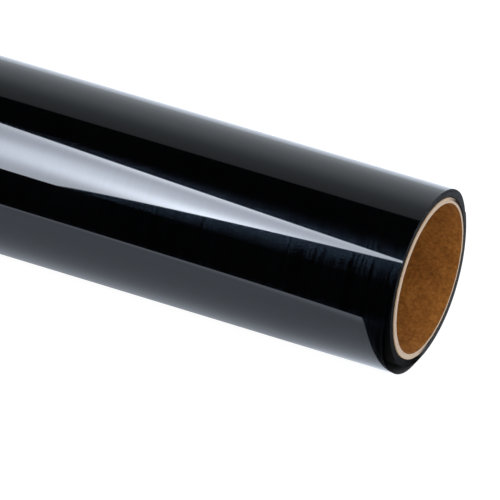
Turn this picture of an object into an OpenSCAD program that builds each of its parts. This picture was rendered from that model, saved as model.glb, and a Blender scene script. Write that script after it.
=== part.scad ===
// Roll of self-adhesive sign vinyl on a spiral-wound paperboard core.
// The roll's axis is the X axis. The origin is on that axis, half way along the roll.
// +Z is up, -Y is the front. Angles are measured round the axis, seen from the +X end:
// 0 is the back (+Y), 90 the top, 180 the front and 270 the bottom.
// The web runs anticlockwise as it winds outwards: front, bottom, back, top.

/* [Core] */
// Diameter of the bore that the spindle goes through
bore_d = 76.2; // [50:0.1:160]
// Thickness of one paperboard ply
ply_t = 0.59; // [0.3:0.01:1.5]
// How far the core stands out of the wound web at each end
core_overhang = 0.5; // [0:0.1:5]

/* [Web] */
// Width of the web, which is the length of the wound roll
web_w = 610; // [100:1:1600]
// Thickness of the vinyl film with its adhesive coat
film_t = 0.10; // [0.05:0.01:0.4]
// Thickness of the release liner
liner_t = 0.13; // [0.05:0.01:0.4]
// Whole turns of tightly wound web
turns = 16; // [4:1:40]

/* [Start of the web] */
// Thickness of the tape that holds the web's inner end to the core
tape_t = 0.15; // [0.05:0.01:0.5]
// Length of that tape round the core
tape_len = 20; // [5:1:60]
// Angle at which the web starts
start_angle = 253; // [190:1:300]

/* [Slack last turn] */
// Gap between the last turn and the tight turns under it
last_gap = 0.15; // [0.05:0.01:1]
// How far the slack bulges out at its middle
bulge_h = 5.2; // [1:0.1:6]
// Angle at which the last turn leaves the tight turns
bulge_from = 150; // [140:1:175]
// Angle at which it comes back to them
bulge_to = 260; // [250:1:268]

/* [Free tail] */
// Angle at which the free tail begins
tail_angle = 280; // [272:1:300]
// Length of the free tail
tail_len = 72; // [36:1:100]
// How much larger the radius of the tail's curl is than the roll's radius
tail_lift = 0.5; // [0.3:0.1:10]
// Gap between neighbouring strips of the tail
strip_gap = 0.1; // [0.05:0.01:0.3]
// Length of film that stays stuck on the last strip, before the edge that peels off
bond_len = 4; // [1:0.5:5]
// Gap between that edge and the liner under it
peel_gap = 0.03; // [0.01:0.01:0.1]

/* [Hidden] */
$fn = 180;

ply_count = 5;
strip_count = 6;
outline_step = 2.5;

// Core
core_len = web_w + 2 * core_overhang;
core_r = bore_d / 2 + ply_count * ply_t;

// Web: radii of its inner face
pitch = film_t + liner_t;
web_r = core_r + tape_t;
last_r = web_r + turns * pitch + last_gap;

// Upper half of the last turn, which grows by one pitch and the gap
last_step = (pitch + last_gap) / 2;
last_up_r = web_r + (turns - 1) * pitch + last_step;
last_up_c = [-last_step, 0];

// Slack bulge: two straight runs, each tangent to the roll, joined by an arc
bulge_half = (bulge_to - bulge_from) / 2;
bulge_r = last_r - bulge_h / (1 / cos(bulge_half) - 1);
bulge_c = meet(bulge_from, last_up_r - last_step * cos(bulge_from) - bulge_r, bulge_to, last_r - bulge_r);

// Tail: an arc of its own curl radius, tangent to the last turn where it begins
curl_r = last_r + tail_lift;
curl_c = -tail_lift * dir(tail_angle);
curl_turn = 180 / (PI * curl_r); // degrees of turn per millimetre of tail
gap_turn = strip_gap * curl_turn;
strip_len = tail_len / strip_count;
peel_start = tail_len - strip_len + bond_len;

// Unit vector at an angle round the axis
function dir(angle) = [cos(angle), sin(angle)];

// The point that lies d1 out along the angle a1 and d2 out along the angle a2
function meet(a1, d1, a2, d2) =
    [d1 * sin(a2) - d2 * sin(a1), d2 * cos(a1) - d1 * cos(a2)] / sin(a2 - a1);

// Turns a shape drawn round Z, with Y upwards, so that it lies along X with Z upwards
module along_x() rotate([90, 0, 90]) children();

// A layer of thickness t on an arc of inner radius r
module arc_run(centre, r, t, from, to, width)
    translate([centre.x, centre.y, -width / 2])
        rotate([0, 0, from])
            rotate_extrude(angle = to - from)
                translate([r, 0])
                    square([t, width]);

// Points on an arc, each with the angle of its outward normal
function arc_stations(centre, r, from, to) =
    let (steps = ceil((to - from) / outline_step))
    [for (i = [0 : steps]) let (a = from + (to - from) * i / steps) [centre + r * dir(a), a]];

// The line that the last turn's inner face follows: down from the top, out over the bulge along
// two straight runs and the arc between them, and under the roll to where the tail begins
function slack_line() = concat(
    arc_stations(last_up_c, last_up_r, 90, bulge_from),
    arc_stations(bulge_c, bulge_r, bulge_from, bulge_to),
    arc_stations([0, 0], last_r, bulge_to, tail_angle - gap_turn)
);

// One layer of the web, lying off outside the web's inner face, from the core to the tail.
// Each turn is two half circles whose centres lie half a pitch apart, so it grows by one pitch.
module wound_layer(off, t) {
    mirror([0, 1, 0])
        arc_run([0, 0], web_r + off, t, 0, 360 - start_angle, web_w);
    for (k = [1 : turns - 1])
        arc_run([0, 0], web_r + k * pitch + off, t, 180, 360, web_w);
    for (k = [0 : turns - 2])
        arc_run([-pitch / 2, 0], web_r + (k + 0.5) * pitch + off, t, 0, 180, web_w);
    arc_run(last_up_c, last_up_r + off, t, 0, 90, web_w);
    layer_on(slack_line(), off, t);
}

// A layer of thickness t, lying off outside a line of stations
module layer_on(line, off, t) {
    inner = [for (s = line) s[0] + off * dir(s[1])];
    outer = [for (i = [len(line) - 1 : -1 : 0]) line[i][0] + (off + t) * dir(line[i][1])];
    linear_extrude(web_w, center = true)
        polygon(concat(inner, outer));
}

// One layer of the tail between two lengths along it, less the gap to what comes next
module tail_run(from, to, off, t)
    layer_on(arc_stations(curl_c, curl_r, tail_angle + from * curl_turn,
                          tail_angle + to * curl_turn - gap_turn), off, t);

// A ply of the core, counted from the bore
module core_ply(number)
    plain_tube(bore_d / 2 + (number - 1) * ply_t, bore_d / 2 + number * ply_t, core_len);

// A plain tube, open at both ends
module plain_tube(r_in, r_out, length)
    difference() {
        cylinder(r = r_out, h = length, center = true);
        cylinder(r = r_in, h = length + 1, center = true);
    }

module core_inner_ply() color("peru") along_x() core_ply(1);

module core_body_ply(number) color("tan") along_x() core_ply(number + 1);

module core_outer_ply() color("burlywood") along_x() core_ply(ply_count);

module core_start_tape() color("khaki") along_x()
    arc_run([0, 0], core_r, tape_t, start_angle, start_angle + tape_len / core_r * 180 / PI, web_w);

module release_liner() color("lightgray") along_x() wound_layer(0, liner_t);

module vinyl_film() color([0.06, 0.06, 0.07]) along_x() wound_layer(liner_t, film_t);

module tail_liner(number) color("lightgray") along_x()
    tail_run((number - 1) * strip_len, number * strip_len, 0, liner_t);

// The film of the last strip ends where the edge that peels off begins
module tail_film(number) color([0.06, 0.06, 0.07]) along_x()
    tail_run((number - 1) * strip_len, min(number * strip_len, peel_start), liner_t, film_t);

// The film's outer end, which peels off its liner
module film_lead_edge() color([0.06, 0.06, 0.07]) along_x()
    tail_run(peel_start, tail_len, liner_t + peel_gap, film_t);

core_inner_ply();
for (i = [1 : 3]) core_body_ply(i);
core_outer_ply();
core_start_tape();
release_liner();
vinyl_film();
for (i = [1 : strip_count]) tail_liner(i);
for (i = [1 : strip_count]) tail_film(i);
film_lead_edge();
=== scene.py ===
"""A roll of glossy black sign vinyl on its paperboard core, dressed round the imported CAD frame."""

import math

import bpy
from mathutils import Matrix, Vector, noise


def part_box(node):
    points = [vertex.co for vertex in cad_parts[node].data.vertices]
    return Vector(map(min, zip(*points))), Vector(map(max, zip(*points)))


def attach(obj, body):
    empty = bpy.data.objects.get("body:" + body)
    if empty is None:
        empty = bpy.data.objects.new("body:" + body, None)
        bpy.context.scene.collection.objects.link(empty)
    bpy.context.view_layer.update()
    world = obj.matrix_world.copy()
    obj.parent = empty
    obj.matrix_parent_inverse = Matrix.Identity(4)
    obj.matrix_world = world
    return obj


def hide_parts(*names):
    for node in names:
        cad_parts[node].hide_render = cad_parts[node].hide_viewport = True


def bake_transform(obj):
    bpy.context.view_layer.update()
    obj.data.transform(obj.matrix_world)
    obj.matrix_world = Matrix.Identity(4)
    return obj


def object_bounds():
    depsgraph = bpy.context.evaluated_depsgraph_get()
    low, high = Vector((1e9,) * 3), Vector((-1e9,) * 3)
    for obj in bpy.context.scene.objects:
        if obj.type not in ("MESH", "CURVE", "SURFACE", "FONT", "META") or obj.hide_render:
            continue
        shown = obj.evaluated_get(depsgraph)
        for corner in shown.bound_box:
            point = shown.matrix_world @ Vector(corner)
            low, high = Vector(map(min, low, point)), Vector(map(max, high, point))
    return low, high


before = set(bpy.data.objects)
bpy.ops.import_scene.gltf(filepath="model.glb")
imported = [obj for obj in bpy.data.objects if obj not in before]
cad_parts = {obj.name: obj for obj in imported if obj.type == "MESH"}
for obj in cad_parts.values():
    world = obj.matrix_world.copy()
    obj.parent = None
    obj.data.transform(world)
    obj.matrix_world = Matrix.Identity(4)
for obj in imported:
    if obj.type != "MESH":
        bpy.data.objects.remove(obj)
cad_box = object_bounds()
scene = bpy.context.scene

# ---------------------------------------------------------------- sizes, in metres
MM = 0.001
HALF_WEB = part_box("vinyl_film")[1].x
HALF_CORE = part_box("core_outer_ply")[1].x
CORE_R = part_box("core_outer_ply")[1].z
PLY_T = CORE_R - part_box("core_body_ply_3")[1].z
PLY_COUNT = 5
BORE_R = CORE_R - PLY_COUNT * PLY_T

# The web's layers, its turns, its slack and its free end, as the CAD source has them
FILM_T = 0.10 * MM
LINER_T = 0.13 * MM
PITCH = FILM_T + LINER_T
TAPE_T = 0.15 * MM
TURNS = 16
START_ANGLE = 253
LAST_GAP = 0.15 * MM
BULGE_H = 5.2 * MM
BULGE_FROM = 150
BULGE_TO = 260
TAIL_ANGLE = 280
TAIL_LEN = 72 * MM
TAIL_LIFT = 0.5 * MM
STRIPS = 6
BOND_LEN = 4 * MM
# Share of a layer's thickness that is shown, so that neighbouring layers never share a face
SHOWN_T = 0.97

WEB_R = CORE_R + TAPE_T
LAST_R = WEB_R + TURNS * PITCH + LAST_GAP
STRIP_LEN = TAIL_LEN / STRIPS
PEEL_START = TAIL_LEN - STRIP_LEN + BOND_LEN

BULGE_HALF = math.radians(BULGE_TO - BULGE_FROM) / 2
BULGE_R = LAST_R - BULGE_H / (1 / math.cos(BULGE_HALF) - 1)


# ---------------------------------------------------------------- points round the roll
def direction(angle):
    """Unit (y, z) at an angle round the axis: 0 is the back, 90 the top, 180 the front."""
    a = math.radians(angle)
    return math.cos(a), math.sin(a)


def polar(centre, r, angle):
    c, s = direction(angle)
    return centre[0] + r * c, centre[1] + r * s


CURL_R = LAST_R + TAIL_LIFT
CURL_C = polar((0, 0), -TAIL_LIFT, TAIL_ANGLE)


class Station:
    """A place along the web's inner face: its point (y, z), the angle of its outward normal, the turns
    wound under it and its length so far."""

    def __init__(self, point, angle, turn):
        self.point = point
        self.angle = angle
        self.turn = turn
        self.run = 0.0


def measure(stations):
    """Adds up the length along the web, for the materials' coordinates."""
    for before, here in zip(stations, stations[1:]):
        step = math.hypot(here.point[0] - before.point[0], here.point[1] - before.point[1])
        here.run = before.run + step
    return stations


def smooth(t):
    t = min(max(t, 0.0), 1.0)
    return t * t * (3 - 2 * t)


def hump(angle, middle, width):
    """1 at an angle round the roll, and 0 a width or more away from it."""
    away = abs((angle - middle + 180) % 360 - 180) / width
    return smooth(1 - away)


# Degrees between stations on the hidden turns and on the outer ones, and the spacing along the tail
INNER_STEP = 6
OUTER_STEP = 1.5
TAIL_STEP = 0.8 * MM
# Where the last full turn ends, at the front, and where the slack leaves the tight turns
LAST_ANGLE = 180 + 360 * TURNS
BULGE_ANGLE = LAST_ANGLE - 180 + BULGE_FROM

# Where the web stands off the core, as the middle, the half width and the height of each gap
CORE_GAPS = [(36, 34, 0.50 * MM), (213, 14, 0.30 * MM), (241, 11, 0.30 * MM)]
# Where the outer turns stand off the inner ones, and the turn from which they do
TURN_GAP = (60, 22, 0.22 * MM)
TURN_GAP_FROM = 11.5


def wound_radius(angle):
    """Radius of the inner face at an angle counted on from turn to turn. The web stands off the core
    in a few places, the outer turns stand off the inner ones near the top, and the last turn is loose."""
    turn = (angle - 180) / 360
    gaps = CORE_GAPS + [TURN_GAP] * (turn > TURN_GAP_FROM)
    gap = sum(height * hump(angle, middle, width) for middle, width, height in gaps)
    loose = LAST_GAP * smooth((angle - LAST_ANGLE + 180) / 180)
    return WEB_R + turn * PITCH + loose + gap


def meet(a1, d1, a2, d2):
    """The point that lies d1 out along the angle a1 and d2 out along the angle a2."""
    (c1, s1), (c2, s2) = direction(a1), direction(a2)
    turn = math.sin(math.radians(a2 - a1))
    return (d1 * s2 - d2 * s1) / turn, (d2 * c1 - d1 * c2) / turn


BULGE_C = meet(BULGE_FROM, wound_radius(BULGE_ANGLE) - BULGE_R, BULGE_TO, LAST_R - BULGE_R)


def web_stations():
    """The whole wound web from its start on the core, over the slack bulge, to the tail."""
    stations = []
    angle = START_ANGLE
    while angle < BULGE_ANGLE + 1e-6:
        stations.append(Station(polar((0, 0), wound_radius(angle), angle), angle, (angle - 180) / 360))
        step = OUTER_STEP if angle >= LAST_ANGLE - 420 else INNER_STEP
        angle = (math.floor(angle / step + 1e-6) + 1) * step
    for a in steps(BULGE_FROM, BULGE_TO):
        stations.append(Station(polar(BULGE_C, BULGE_R, a), a, TURNS))
    for a in steps(BULGE_TO, TAIL_ANGLE - math.degrees(STRIP_LEN / 2 / LAST_R)):
        stations.append(Station(polar((0, 0), LAST_R, a), a, TURNS))
    return measure(stations)


def steps(start, stop):
    """Even steps of about OUTER_STEP from start to stop, both included."""
    count = max(1, math.ceil((stop - start) / OUTER_STEP))
    return [start + (stop - start) * i / count for i in range(count + 1)]


def tail_station(length):
    """The station at a length along the free tail; below 0 it is still on the last turn."""
    if length < 0:
        angle = TAIL_ANGLE + math.degrees(length / LAST_R)
        return Station(polar((0, 0), LAST_R, angle), angle, TURNS)
    angle = TAIL_ANGLE + math.degrees(length / CURL_R)
    return Station(polar(CURL_C, CURL_R, angle), angle, TURNS)


def tail_stations(start, stop):
    """Stations between two lengths along the tail, close enough together to bend smoothly."""
    count = max(2, math.ceil((stop - start) / TAIL_STEP))
    return measure([tail_station(start + (stop - start) * i / count) for i in range(count + 1)])


# ---------------------------------------------------------------- meshes
# Places along half the roll where the layers have rings of points, close together near the cut end
RING_SHARES = [0, 0.12, 0.25, 0.38, 0.5, 0.62, 0.73, 0.83, 0.91, 0.96, 0.985, 0.995, 1]
RINGS = [-s for s in reversed(RING_SHARES[1:])] + RING_SHARES

# How far the cut edges lie in: of the outer turns round the back, more at its middle and less below
# it, of the slack turn at the front, and of every turn by its slow and its fine drift
BACK_IN = 0.32 * MM
BACK_MIDDLE_IN = 0.40 * MM
BACK_LOW_OUT = 0.30 * MM
SLACK_IN = 1.1 * MM
SLOW_DRIFT = 0.05 * MM
FINE_DRIFT = 0.03 * MM


def end_offset(station, side):
    """How far a turn's cut edge stands back from the web's nominal width. The turns drift a little
    sideways, the outer ones lie further in at the back, and so does the slack."""
    slow = noise.noise(Vector((station.turn * 1.7, side * 5.0, station.angle / 360)))
    fine = noise.noise(Vector((station.turn * 9.0, side * 9.0, station.angle / 90)))
    turned = (station.angle + 180) % 360 - 180
    back = BACK_IN * smooth((turned + 120) / 30) * smooth((45 - turned) / 25)
    back += BACK_MIDDLE_IN * hump(turned, 6, 36) - BACK_LOW_OUT * hump(turned, -56, 42)
    outer = (station.turn / TURNS) ** 1.5
    slack = SLACK_IN * hump(turned, 215, 55) * smooth((station.turn - TURNS + 0.1) / 0.1)
    return back * outer + slack + SLOW_DRIFT * (1 + slow) + FINE_DRIFT * (1 + fine)


WAVE_HEIGHT = 0.05 * MM


def wave(x, station):
    """The slight unevenness of the outermost turn."""
    share = smooth((station.turn - TURNS + 1.2) / 0.5)
    c, s = direction(station.angle)
    return WAVE_HEIGHT * share * (noise.noise(Vector((x * 9, c * 1.2, s * 1.2))) + 0.2)


def slab(name, stations, off, t, materials, face=0, edge=1, inside=2):
    """A closed layer of thickness t that lies off outside the stations, the whole width of the web.
    materials are those of its outer face, its cut edges and its inner face."""
    verts, faces, slots, coords = [], [], [], []
    n = len(RINGS)
    for s in stations:
        ends = [end_offset(s, -1), end_offset(s, 1)]
        for level in (off, off + t):
            for share in RINGS:
                x = share * (HALF_WEB - ends[share > 0])
                y, z = polar(s.point, level + wave(x, s), s.angle)
                verts.append((x, y, z))

    def index(i, outer, j):
        return (i * 2 + outer) * n + j

    def quad(a, b, c, d, slot, uv):
        faces.append((a, b, c, d))
        slots.append(slot)
        coords.extend(uv)

    def flat(i, j):
        return verts[index(i, 1, j)][0], stations[i].run

    for i in range(len(stations) - 1):
        for j in range(n - 1):
            corners = [flat(i, j), flat(i, j + 1), flat(i + 1, j + 1), flat(i + 1, j)]
            outer = [index(i, 1, j), index(i, 1, j + 1), index(i + 1, 1, j + 1), index(i + 1, 1, j)]
            inner = [index(i, 0, j), index(i + 1, 0, j), index(i + 1, 0, j + 1), index(i, 0, j + 1)]
            quad(*outer, face, corners)
            quad(*inner, inside, [corners[0], corners[3], corners[2], corners[1]])
        for j, turned in ((0, True), (n - 1, False)):
            ring = [index(i, 0, j), index(i + 1, 0, j), index(i + 1, 1, j), index(i, 1, j)]
            corners = [flat(i, j), flat(i + 1, j), flat(i + 1, j), flat(i, j)]
            if not turned:
                ring, corners = ring[::-1], corners[::-1]
            quad(*ring, edge, corners)
    last = len(stations) - 1
    for i, turned in ((0, False), (last, True)):
        for j in range(n - 1):
            ring = [index(i, 0, j), index(i, 0, j + 1), index(i, 1, j + 1), index(i, 1, j)]
            corners = [flat(i, j), flat(i, j + 1), flat(i, j + 1), flat(i, j)]
            if turned:
                ring, corners = ring[::-1], corners[::-1]
            quad(*ring, edge, corners)
    return build(name, verts, faces, slots, coords, materials)


def build(name, verts, faces, slots, coords, materials):
    """A mesh object from lists of points, faces, a material slot for each face and flat coordinates."""
    mesh = bpy.data.meshes.new(name)
    mesh.from_pydata(verts, [], faces)
    for m in materials:
        mesh.materials.append(m)
    mesh.polygons.foreach_set("material_index", slots)
    mesh.polygons.foreach_set("use_smooth", [True] * len(faces))
    layer = mesh.uv_layers.new(name="flat")
    layer.data.foreach_set("uv", [c for uv in coords for c in uv])
    mesh.set_sharp_from_angle(angle=math.radians(35))
    mesh.validate()
    mesh.update()
    obj = bpy.data.objects.new(name, mesh)
    scene.collection.objects.link(obj)
    return obj


# Rings along the core, close together at its cut ends, and the degrees between a ring's points
CORE_RINGS = 24
CORE_STEP = 2
# How far apart the bore's helical seam comes round, its ridge's height, and the wear of the bore's mouth
SEAM_PITCH = 0.22
SEAM_HEIGHT = 0.06 * MM
MOUTH_WEAR = 0.05 * MM


def cut_end(ply, angle, side):
    """How far the saw left a ply short of the core's nominal length."""
    rough = noise.noise(Vector((ply * 3.1, side * 4.0, angle / 7)))
    slow = noise.noise(Vector((ply * 0.5, side * 8.0 + 3, angle / 60)))
    return 0.10 * MM * (1 + rough) + 0.06 * MM * (1 + slow)


def bore_wear(x, share, angle):
    """How far the bore's wall lies off its nominal radius: at its seam, in its dents and at its mouth."""
    turn = (angle / 360 + x / SEAM_PITCH) % 1
    seam = SEAM_HEIGHT * math.exp(-((turn - 0.5) * 360 / 1.6) ** 2)
    dents = 0.012 * MM * noise.noise(Vector((x * 300, angle / 4, 9.0)))
    return seam + dents + MOUTH_WEAR * smooth((abs(share) - 0.995) / 0.005)


def core_ply(name, ply, materials):
    """One ply of the core: a tube with rough sawn ends and the faint ridge of its wound seam."""
    r_in = BORE_R + ply * PLY_T
    r_out = r_in + PLY_T
    count = 360 // CORE_STEP
    verts, faces, slots, coords = [], [], [], []
    shares = [math.sin(math.pi / 2 * (2 * i / (CORE_RINGS - 1) - 1)) for i in range(CORE_RINGS)]
    for level, r in enumerate((r_in, r_out)):
        for share in shares:
            for k in range(count):
                angle = k * CORE_STEP
                x = share * (HALF_CORE - cut_end(ply, angle, 1 if share > 0 else -1))
                worn = bore_wear(x, share, angle) if level == 0 and ply == 0 else 0
                y, z = polar((0, 0), r + worn, angle)
                verts.append((x, y, z))

    def index(level, i, k):
        return (level * CORE_RINGS + i) * count + k % count

    def quad(ring, slot, corners):
        faces.append(tuple(ring))
        slots.append(slot)
        coords.extend(corners)

    for i in range(CORE_RINGS - 1):
        for k in range(count):
            x0, x1 = verts[index(0, i, k)][0], verts[index(0, i + 1, k)][0]
            v0, v1 = k * CORE_STEP / 360, (k + 1) * CORE_STEP / 360
            outer = [index(1, i, k), index(1, i + 1, k), index(1, i + 1, k + 1), index(1, i, k + 1)]
            inner = [index(0, i, k), index(0, i, k + 1), index(0, i + 1, k + 1), index(0, i + 1, k)]
            quad(outer, 0, [(x0, v0), (x1, v0), (x1, v1), (x0, v1)])
            quad(inner, 0, [(x0, v0), (x0, v1), (x1, v1), (x1, v0)])
    for i, turned in ((0, False), (CORE_RINGS - 1, True)):
        for k in range(count):
            ring = [index(0, i, k), index(1, i, k), index(1, i, k + 1), index(0, i, k + 1)]
            corners = [(0, 0), (1, 0), (1, 1), (0, 1)]
            if turned:
                ring = ring[::-1]
            quad(ring, 1, corners)
    return build(name, verts, faces, slots, coords, materials)


# ---------------------------------------------------------------- materials
class Nodes:
    """A small helper that makes a material's or a world's nodes and links them."""

    def __init__(self, owner):
        owner.use_nodes = True
        self.tree = owner.node_tree
        self.tree.nodes.clear()

    def add(self, kind, *links, **settings):
        node = self.tree.nodes.new(kind)
        for key, value in settings.items():
            setattr(node, key, value)
        for socket, source in links:
            self.set(node, socket, source)
        return node

    def set(self, node, socket, source):
        if isinstance(source, bpy.types.NodeSocket):
            self.tree.links.new(source, node.inputs[socket])
        else:
            node.inputs[socket].default_value = source

    def math(self, operation, a, b=0.0):
        return self.add("ShaderNodeMath", (0, a), (1, b), operation=operation).outputs[0]

    def ramp(self, source, *stops):
        node = self.add("ShaderNodeValToRGB", ("Fac", source))
        ramp = node.color_ramp
        while len(ramp.elements) < len(stops):
            ramp.elements.new(0.5)
        for element, (place, colour) in zip(ramp.elements, stops):
            element.position = place
            element.color = (*colour, 1)
        return node.outputs["Color"]

    def noise(self, vector, scale, detail=2.0, rough=0.5):
        return self.add("ShaderNodeTexNoise", ("Vector", vector), ("Scale", scale), ("Detail", detail),
                        ("Roughness", rough)).outputs["Fac"]

    def stretched(self, vector, scale):
        return self.add("ShaderNodeMapping", ("Vector", vector), ("Scale", scale)).outputs["Vector"]

    def mix(self, share, a, b):
        node = self.add("ShaderNodeMix", data_type="RGBA")
        self.set(node, 0, share)
        self.set(node, 6, a)
        self.set(node, 7, b)
        return node.outputs[2]

    def bump(self, height, strength, distance):
        return self.add("ShaderNodeBump", ("Height", height), ("Strength", strength),
                        ("Distance", distance)).outputs["Normal"]

    def flat(self):
        return self.add("ShaderNodeUVMap", uv_map="flat").outputs["UV"]

    def position(self):
        return self.add("ShaderNodeTexCoord").outputs["Object"]

    def axes(self, vector):
        return self.add("ShaderNodeSeparateXYZ", ("Vector", vector)).outputs

    def dot(self, vector, axis):
        node = self.add("ShaderNodeVectorMath", (0, vector), (1, axis), operation="DOT_PRODUCT")
        return node.outputs["Value"]

    def square(self, value):
        return self.math("MULTIPLY", value, value)

    def span(self, value, start, stop, low=0.0, high=1.0):
        """Goes from low to high as a value goes from start to stop."""
        return self.add("ShaderNodeMapRange", ("Value", value), ("From Min", start), ("From Max", stop),
                        ("To Min", low), ("To Max", high)).outputs[0]

    def round_axis(self, angle):
        """A place's radius from the roll's axis, and the cosine of its turn from an angle round it."""
        y, z = self.axes(self.position())[1:]
        radius = self.math("SQRT", self.math("ADD", self.square(y), self.square(z)))
        c, s = direction(angle)
        along = self.math("ADD", self.math("MULTIPLY", y, c), self.math("MULTIPLY", z, s))
        return radius, self.math("DIVIDE", along, radius)

    def finish(self, shader):
        self.add("ShaderNodeOutputMaterial", ("Surface", shader.outputs[0]))


def material(name):
    m = bpy.data.materials.new(name)
    return m, Nodes(m)


def film_material():
    """High-gloss black vinyl: a mirror coat over a black base whose fine scratches, which run round
    the roll, smear its faint blue sheen."""
    m, n = material("gloss_black_vinyl")
    flat = n.flat()
    fine = n.noise(n.stretched(flat, (900, 9, 1)), 1.0, 2.0, 0.6)
    broad = n.noise(n.stretched(flat, (420, 5, 1)), 1.0, 2.0, 0.5)
    scratches = n.math("ADD", n.math("MULTIPLY", fine, 0.8), n.math("MULTIPLY", broad, 0.2))
    haze = n.noise(n.stretched(flat, (20, 20, 1)), 1.0, 3.0, 0.6)
    colour = n.ramp(haze, (0.3, (0.0002, 0.0002, 0.0003)), (0.7, (0.0005, 0.0005, 0.0006)))
    rough = n.span(scratches, 0.42, 0.58, 0.05, 0.20)
    tangent = n.add("ShaderNodeTangent", direction_type="UV_MAP", uv_map="flat").outputs[0]
    n.finish(n.add("ShaderNodeBsdfPrincipled", ("Base Color", colour), ("Roughness", rough),
                   ("Normal", n.bump(scratches, 0.5, 0.0002)), ("Tangent", tangent),
                   ("Anisotropic", 1.0), ("Specular IOR Level", 0.10),
                   ("Specular Tint", (0.28, 0.44, 0.66, 1)), ("Coat Weight", 1.0),
                   ("Coat Roughness", 0.025), ("Coat IOR", 1.5)))
    return m


def slit_edge_material(name, dark, light, rough):
    """A slit edge of the web, with the blade's fine marks. Painted shade turns it near-black on the slack
    turn and towards the lower back, where the turns lie further in."""
    m, n = material(name)
    marks = n.noise(n.stretched(n.position(), (900, 900, 900)), 1.0, 3.0, 0.6)
    colour = n.ramp(marks, (0.3, dark), (0.75, light))
    radius, turned = n.round_axis(-45)
    # Painted shade: near-black towards the lower back and on the slack turn, where the turns lie further in.
    painted_shade = n.math("MAXIMUM", n.span(turned, 0.05, 0.40), n.span(radius, 0.0452, 0.0460))
    colour = n.mix(painted_shade, colour, (0.0008, 0.0008, 0.001, 1))
    n.finish(n.add("ShaderNodeBsdfPrincipled", ("Base Color", colour), ("Roughness", rough),
                   ("Specular IOR Level", 0.1), ("Normal", n.bump(marks, 0.4, 0.00005))))
    return m


def adhesive_material():
    """The film's inner face under its clear adhesive coat: black, wet-looking, with a faint orange peel."""
    m, n = material("clear_adhesive_on_vinyl")
    flat = n.flat()
    peel = n.noise(n.stretched(flat, (900, 900, 1)), 1.0, 2.0, 0.5)
    colour = n.ramp(peel, (0.3, (0.010, 0.010, 0.012)), (0.7, (0.020, 0.020, 0.023)))
    n.finish(n.add("ShaderNodeBsdfPrincipled", ("Base Color", colour), ("Roughness", 0.18),
                   ("Normal", n.bump(peel, 0.25, 0.00004)), ("Coat Weight", 0.4),
                   ("Coat Roughness", 0.12)))
    return m


def liner_material(name, dark, light, rough):
    """Smoke-grey release liner: satin, with a faint cloudy sheen from its silicone."""
    m, n = material(name)
    flat = n.flat()
    cloud = n.noise(n.stretched(flat, (60, 60, 1)), 1.0, 4.0, 0.6)
    grain = n.noise(n.stretched(flat, (1500, 1500, 1)), 1.0, 2.0, 0.5)
    colour = n.ramp(cloud, (0.3, dark), (0.7, light))
    n.finish(n.add("ShaderNodeBsdfPrincipled", ("Base Color", colour), ("Roughness", rough),
                   ("Normal", n.bump(grain, 0.2, 0.00003))))
    return m


def kraft_material(name, deep, mid, light, bump):
    """Brown kraft paperboard: cloudy fibre colour, short dark and light fibres, matte."""
    m, n = material(name)
    place = n.position()
    cloud = n.noise(n.stretched(place, (110, 110, 110)), 1.0, 4.0, 0.6)
    mottle = n.noise(n.stretched(place, (520, 520, 520)), 1.0, 3.0, 0.65)
    fibre = n.noise(n.stretched(place, (500, 2600, 2600)), 1.0, 2.0, 0.6)
    blend = n.math("ADD", n.math("MULTIPLY", cloud, 0.30), n.math("MULTIPLY", mottle, 0.42))
    blend = n.math("ADD", blend, n.math("MULTIPLY", fibre, 0.28))
    colour = n.ramp(blend, (0.36, deep), (0.50, mid), (0.64, light))
    n.finish(n.add("ShaderNodeBsdfPrincipled", ("Base Color", colour), ("Roughness", 0.86),
                   ("Specular IOR Level", 0.2), ("Normal", n.bump(blend, bump, 0.0002))))
    return m


def cut_board_material():
    """The sawn end of the paperboard: pale grey-tan, with fine layers and specks. Shade is painted on its
    outer plies at the back, where the web stands off them."""
    m, n = material("sawn_paperboard")
    place = n.position()
    radius, turned = n.round_axis(-25)
    outward = n.add("ShaderNodeCombineXYZ", ("X", n.math("MULTIPLY", radius, 5200.0))).outputs[0]
    layers = n.noise(outward, 1.0, 1.0, 0.5)
    specks = n.noise(n.stretched(place, (1300, 1300, 1300)), 1.0, 3.0, 0.7)
    blend = n.math("ADD", n.math("MULTIPLY", layers, 0.45), n.math("MULTIPLY", specks, 0.55))
    colour = n.ramp(blend, (0.34, (0.23, 0.17, 0.12)), (0.48, (0.40, 0.315, 0.245)),
                    (0.66, (0.53, 0.44, 0.365)))
    # Painted shade: the outer plies' cut ends turn near-black at the back, where the web stands off the
    # core.
    outer_plies = n.span(radius, CORE_R - 2.9 * PLY_T, CORE_R - 2.2 * PLY_T)
    gap = n.math("MULTIPLY", n.span(turned, 0.10, 0.40), outer_plies)
    colour = n.mix(gap, colour, (0.010, 0.006, 0.004, 1))
    n.finish(n.add("ShaderNodeBsdfPrincipled", ("Base Color", colour), ("Roughness", 0.9),
                   ("Specular IOR Level", 0.15), ("Normal", n.bump(blend, 0.6, 0.0002))))
    return m


def tape_material():
    """Thin cream tissue tape, sticky on both faces."""
    m, n = material("tissue_tape")
    place = n.position()
    fibre = n.noise(n.stretched(place, (300, 2200, 2200)), 1.0, 4.0, 0.6)
    colour = n.ramp(fibre, (0.3, (0.62, 0.56, 0.42)), (0.7, (0.78, 0.73, 0.60)))
    n.finish(n.add("ShaderNodeBsdfPrincipled", ("Base Color", colour), ("Roughness", 0.45),
                   ("Normal", n.bump(fibre, 0.3, 0.0001))))
    return m


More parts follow.
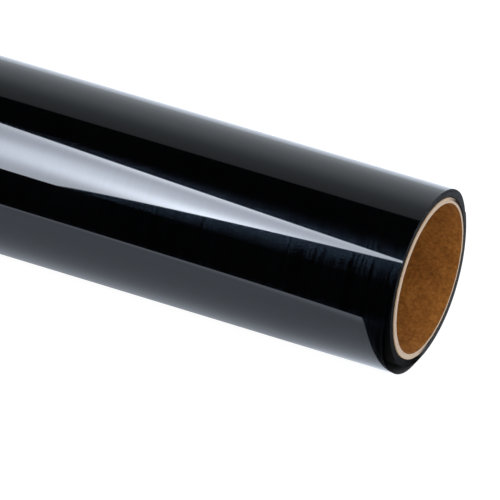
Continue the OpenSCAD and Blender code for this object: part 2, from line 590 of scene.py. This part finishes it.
# The web's layers, each with its outer face, its cut edges and its inner face
FILM = [film_material(),
        slit_edge_material("slit_vinyl_edge", (0.002, 0.002, 0.0025), (0.010, 0.010, 0.012), 0.38),
        adhesive_material()]
LINER = [liner_material("silicone_side", (0.075, 0.077, 0.082), (0.10, 0.102, 0.108), 0.32),
         slit_edge_material("liner_edge", (0.008, 0.009, 0.011), (0.030, 0.032, 0.037), 0.5),
         liner_material("liner_back", (0.085, 0.087, 0.092), (0.12, 0.122, 0.128), 0.45)]
SAWN = cut_board_material()
KRAFT_INNER = kraft_material("brown_kraft", (0.125, 0.042, 0.0055), (0.24, 0.087, 0.013),
                             (0.35, 0.142, 0.027), 0.5)
KRAFT_BODY = kraft_material("grey_board", (0.30, 0.22, 0.15), (0.45, 0.34, 0.24), (0.55, 0.44, 0.33), 0.4)
KRAFT_OUTER = kraft_material("tan_kraft", (0.30, 0.20, 0.12), (0.46, 0.33, 0.21), (0.56, 0.43, 0.30), 0.4)

# ---------------------------------------------------------------- the core
core_plies = [("core_inner_ply", KRAFT_INNER, "kraft_inner"), ("core_body_ply_1", KRAFT_BODY, "kraft_body"),
              ("core_body_ply_2", KRAFT_BODY, "kraft_body"), ("core_body_ply_3", KRAFT_BODY, "kraft_body"),
              ("core_outer_ply", KRAFT_OUTER, "kraft_outer")]
for number, (node, face, slot_name) in enumerate(core_plies):
    piece = core_ply(node + "_board", number, [face, SAWN])
    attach(piece, "roll")
    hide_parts(node)

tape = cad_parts["core_start_tape"]
tape.data.materials.clear()
tape.data.materials.append(tape_material())

# ---------------------------------------------------------------- the wound web
web = web_stations()
liner = slab("liner_wound", web, 0.0, LINER_T * SHOWN_T, LINER)
film = slab("film_wound", web, LINER_T, FILM_T * SHOWN_T, FILM)
for piece, node, slot_name in ((liner, "release_liner", "liner"), (film, "vinyl_film", "film")):
    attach(piece, "roll")
    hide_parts(node)


def tail_piece(name, start, stop, off, t, materials, nodes):
    """A stretch of the tail between two lengths along it."""
    obj = slab(name, tail_stations(start, stop), off, t, materials)
    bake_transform(obj)
    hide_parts(*nodes)
    return obj


for k in range(1, STRIPS + 1):
    hinge = (k - 1) * STRIP_LEN
    start, stop = hinge - STRIP_LEN / 2, hinge + STRIP_LEN / 2
    liner_stop = TAIL_LEN if k == STRIPS else stop
    film_stop = PEEL_START - BOND_LEN / 2 if k == STRIPS else stop
    tail_piece("liner_tail_%d" % k, start, liner_stop, 0.0, LINER_T * SHOWN_T, LINER,
               ["tail_liner_%d" % k])
    tail_piece("film_tail_%d" % k, start, film_stop, LINER_T, FILM_T * SHOWN_T, FILM,
               ["tail_film_%d" % k])
tail_piece("film_lead_end", PEEL_START - BOND_LEN / 2, TAIL_LEN, LINER_T, FILM_T * SHOWN_T, FILM,
           ["film_lead_edge"])


# ---------------------------------------------------------------- the studio
def stage_material(name, colour_of):
    m, n = material(name)
    n.finish(colour_of(n))
    return m


def card(name, corners, glow):
    """A flat panel that only the gloss sees: it lights nothing, shades nothing and isn't in view."""
    mesh = bpy.data.meshes.new(name)
    mesh.from_pydata(corners, [], [tuple(range(len(corners)))])
    mesh.materials.append(glow)
    obj = bpy.data.objects.new(name, mesh)
    scene.collection.objects.link(obj)
    obj.visible_camera = False
    obj.visible_diffuse = False
    obj.visible_transmission = False
    obj.visible_volume_scatter = False
    obj.visible_shadow = False
    return obj


FLOOR_Z = cad_box[0].z - 0.1 * MM


def floor_shader(n):
    """A pale floor, lit from within a little so that it stays white round the roll."""
    glow = n.add("ShaderNodeEmission", ("Color", (1, 1, 1, 1)), ("Strength", 0.95))
    matte = n.add("ShaderNodeBsdfDiffuse", ("Color", (0.16, 0.16, 0.16, 1)))
    return n.add("ShaderNodeAddShader", (0, glow.outputs[0]), (1, matte.outputs[0]))


FLOOR_HALF = 12
floor_mesh = bpy.data.meshes.new("floor")
floor_corners = [(x * FLOOR_HALF, y * FLOOR_HALF, FLOOR_Z) for x, y in ((-1, -1), (1, -1), (1, 1), (-1, 1))]
floor_mesh.from_pydata(floor_corners, [], [(0, 1, 2, 3)])
floor_mesh.materials.append(stage_material("pale_floor", floor_shader))
floor = bpy.data.objects.new("floor", floor_mesh)
scene.collection.objects.link(floor)
floor.visible_glossy = False

# The white table top that the gloss mirrors, with its near right corner in front of the roll
TABLE_CORNER = Vector((0.186, -0.350, FLOOR_Z))
TABLE_FRONT = Vector((-0.410, -0.638, 0)).normalized()
TABLE_RIGHT = Vector((0.348, 1.0, 0)).normalized()
TABLE_COLOUR = (0.98, 1.07, 1.22)


def table_shader(n):
    """White, with a lighter rim along the edge in front of the roll, and a painted shadow of the roll:
    darker close under the roll but for the part near the roll's right end."""
    across = Vector((TABLE_FRONT.y, -TABLE_FRONT.x, 0))
    place = n.position()
    x, y = n.axes(place)[:2]
    inward = n.math("SUBTRACT", n.dot(place, across), across.dot(TABLE_CORNER))
    ahead = n.math("ABSOLUTE", y)
    share = n.math("DIVIDE", n.math("ABSOLUTE", inward), n.math("MAXIMUM", ahead, 0.05))
    rim = n.span(share, 0.0, 0.22, 1.9, 1.0)
    # Painted shadow of the roll: the table darkens close under it, less so near the roll's right end.
    painted_shade = n.ramp(n.math("DIVIDE", ahead, 0.2), (0.0, (0.12,) * 3), (0.14, (0.32,) * 3),
                   (0.215, (0.58,) * 3), (0.33, (0.72,) * 3), (0.5, (0.86,) * 3), (1.0, (1.0,) * 3))
    painted_shade = n.mix(n.span(x, 0.24, 0.295, 0.0, 0.8), painted_shade, (1, 1, 1, 1))
    white = n.add("ShaderNodeMix", (0, 1.0), (6, painted_shade), (7, (*TABLE_COLOUR, 1)), data_type="RGBA",
                  blend_type="MULTIPLY").outputs[2]
    return n.add("ShaderNodeEmission", ("Color", white), ("Strength", rim))


# The far ends of the table's right edge and of its front edge
table_back = TABLE_CORNER + 2.5 * TABLE_RIGHT
table_ahead = TABLE_CORNER + 3.0 * TABLE_FRONT
table_corners = [TABLE_CORNER, table_back, table_back - Vector((5, 0, 0)), table_ahead - Vector((3, 0, 0)),
                 table_ahead]
card("white_table", table_corners, stage_material("table_glow", table_shader))

# The white wall behind, brightest low down
WALL_Y = 0.9
WALL_TOP = WALL_Y * math.tan(math.radians(69.5))
WALL_LEFT = -4
WALL_RIGHT = 3


def wall_shader(n):
    height = n.math("DIVIDE", n.axes(n.position())[2], WALL_TOP)
    colour = n.ramp(height, (0.0, (0.67, 0.73, 0.79)), (0.24, (0.66, 0.70, 0.74)),
                    (0.34, (0.54, 0.58, 0.62)), (0.46, (0.40, 0.44, 0.48)), (0.62, (0.345, 0.37, 0.40)),
                    (0.97, (0.31, 0.32, 0.34)))
    return n.add("ShaderNodeEmission", ("Color", colour), ("Strength", 1.0))


wall_corners = [(WALL_LEFT, WALL_Y, FLOOR_Z), (WALL_RIGHT, WALL_Y, FLOOR_Z), (WALL_RIGHT, WALL_Y, WALL_TOP),
                (WALL_LEFT, WALL_Y, WALL_TOP)]
card("white_wall", wall_corners, stage_material("wall_glow", wall_shader))

# The big softbox, above and in front. Its plane faces the roll; corners are (right, down) in that plane
SOFTBOX_AZIMUTH = math.radians(25)
SOFTBOX_ELEVATION = math.radians(45)
SOFTBOX_DISTANCE = 1.0
SOFTBOX_TOP = (0.258, -0.158)
SOFTBOX_SLOPE = 0.66
SOFTBOX_LEFT = -0.24
SOFTBOX_BOTTOM = 0.47
SOFTBOX_EDGE_STEPS = 8


def softbox_corners():
    """The softbox's outline: its right edge bows, its top edge slopes and its bottom edge is level."""
    top = SOFTBOX_TOP[1]
    downs = [top + (SOFTBOX_BOTTOM - top) * i / SOFTBOX_EDGE_STEPS for i in range(SOFTBOX_EDGE_STEPS + 1)]
    right_edge = [(0.230 - 0.162 * down + 0.094 * down * down, down) for down in downs]
    left_top = top + SOFTBOX_SLOPE * (SOFTBOX_LEFT - SOFTBOX_TOP[0])
    return right_edge + [(SOFTBOX_LEFT, SOFTBOX_BOTTOM), (SOFTBOX_LEFT, left_top)]


softbox_out = Vector((-math.sin(SOFTBOX_AZIMUTH) * math.cos(SOFTBOX_ELEVATION),
                      -math.cos(SOFTBOX_AZIMUTH) * math.cos(SOFTBOX_ELEVATION), math.sin(SOFTBOX_ELEVATION)))
softbox_right = Vector((math.cos(SOFTBOX_AZIMUTH), -math.sin(SOFTBOX_AZIMUTH), 0))
softbox_down = softbox_right.cross(softbox_out)


def softbox_shader(n):
    """Even, with a long leaning hot patch, a wide glow at its middle, and brighter lines along its top
    edge and its right edge."""
    place = n.position()

    def bell(value, middle, width):
        away = n.math("DIVIDE", n.math("SUBTRACT", value, middle), width)
        return n.math("EXPONENT", n.math("MULTIPLY", n.square(away), -1.0))

    across, down = n.dot(place, softbox_right), n.dot(place, softbox_down)
    lean = math.radians(42)
    length = n.dot(place, math.cos(lean) * softbox_right + math.sin(lean) * softbox_down)
    breadth = n.dot(place, math.cos(lean) * softbox_down - math.sin(lean) * softbox_right)
    hot = n.math("MULTIPLY", bell(length, 0.262, 0.23), bell(breadth, -0.018, 0.11))
    middle = n.math("MULTIPLY", bell(across, 0.02, 0.13), bell(down, -0.06, 0.12))
    side = n.math("MULTIPLY", bell(across, 0.218, 0.05), bell(down, 0.10, 0.17))
    below_top = n.math("SUBTRACT", down, n.math("MULTIPLY", across, SOFTBOX_SLOPE))
    top = n.math("MULTIPLY", bell(below_top, SOFTBOX_TOP[1] - SOFTBOX_SLOPE * SOFTBOX_TOP[0], 0.05),
                 bell(across, 0.02, 0.17))
    strength = 8.0
    for glow, amount in ((hot, 9.5), (middle, 2.8), (side, 4.5), (top, 7.5)):
        strength = n.math("ADD", n.math("MULTIPLY", glow, amount), strength)
    return n.add("ShaderNodeEmission", ("Color", (0.93, 1.0, 1.12, 1)), ("Strength", strength))


card("softbox", [SOFTBOX_DISTANCE * softbox_out + right * softbox_right + down * softbox_down
                 for right, down in softbox_corners()], stage_material("softbox_glow", softbox_shader))


def make_world():
    """White where the camera looks past the floor, near-black to the gloss, and soft light for the rest,
    stronger from above, the right and the front."""
    world = bpy.data.worlds.new("studio")
    n = Nodes(world)

    def background(colour, strength):
        return n.add("ShaderNodeBackground", ("Color", (*colour, 1)), ("Strength", strength)).outputs[0]

    def choose(ray, otherwise, then):
        return n.add("ShaderNodeMixShader", (0, path[ray]), (1, otherwise), (2, then)).outputs[0]

    path = n.add("ShaderNodeLightPath").outputs
    toward = n.add("ShaderNodeTexCoord").outputs["Generated"]
    light = background((1, 1, 1), n.span(n.dot(toward, (0.58, -0.30, 0.76)), -1.0, 1.0, 0.2, 1.8))
    shown = choose("Is Camera Ray", light, background((1, 1, 1), 1.0))
    both = choose("Is Glossy Ray", shown, background((0.003, 0.0035, 0.004), 1.0))
    n.add("ShaderNodeOutputWorld", ("Surface", both))
    scene.world = world


make_world()

# ---------------------------------------------------------------- the camera
CAMERA_AZIMUTH = math.radians(25.7)
CAMERA_ELEVATION = math.radians(38.6)
CAMERA_DISTANCE = 4.114
CAMERA_LENS = 607.0
CAMERA_SENSOR = 36
# The aim is this far left of and above the centre of the core's right end
AIM_LEFT = 0.08776
AIM_UP = 0.01403
back = Vector((math.sin(CAMERA_AZIMUTH) * math.cos(CAMERA_ELEVATION),
               -math.cos(CAMERA_AZIMUTH) * math.cos(CAMERA_ELEVATION), math.sin(CAMERA_ELEVATION)))
right = Vector((math.cos(CAMERA_AZIMUTH), math.sin(CAMERA_AZIMUTH), 0))
up = back.cross(right)
aim = Vector((HALF_CORE, 0, 0)) - AIM_LEFT * right + AIM_UP * up

camera_data = bpy.data.cameras.new("camera")
camera_data.lens = CAMERA_LENS
camera_data.sensor_width = CAMERA_SENSOR
camera_data.clip_start = 0.1
camera_data.clip_end = 60
camera = bpy.data.objects.new("camera", camera_data)
camera.location = aim + CAMERA_DISTANCE * back
camera.rotation_mode = "QUATERNION"
camera.rotation_quaternion = (-back).to_track_quat("-Z", "Y")
scene.collection.objects.link(camera)
scene.camera = camera

scene.view_settings.view_transform = "Standard"
scene.view_settings.look = "None"
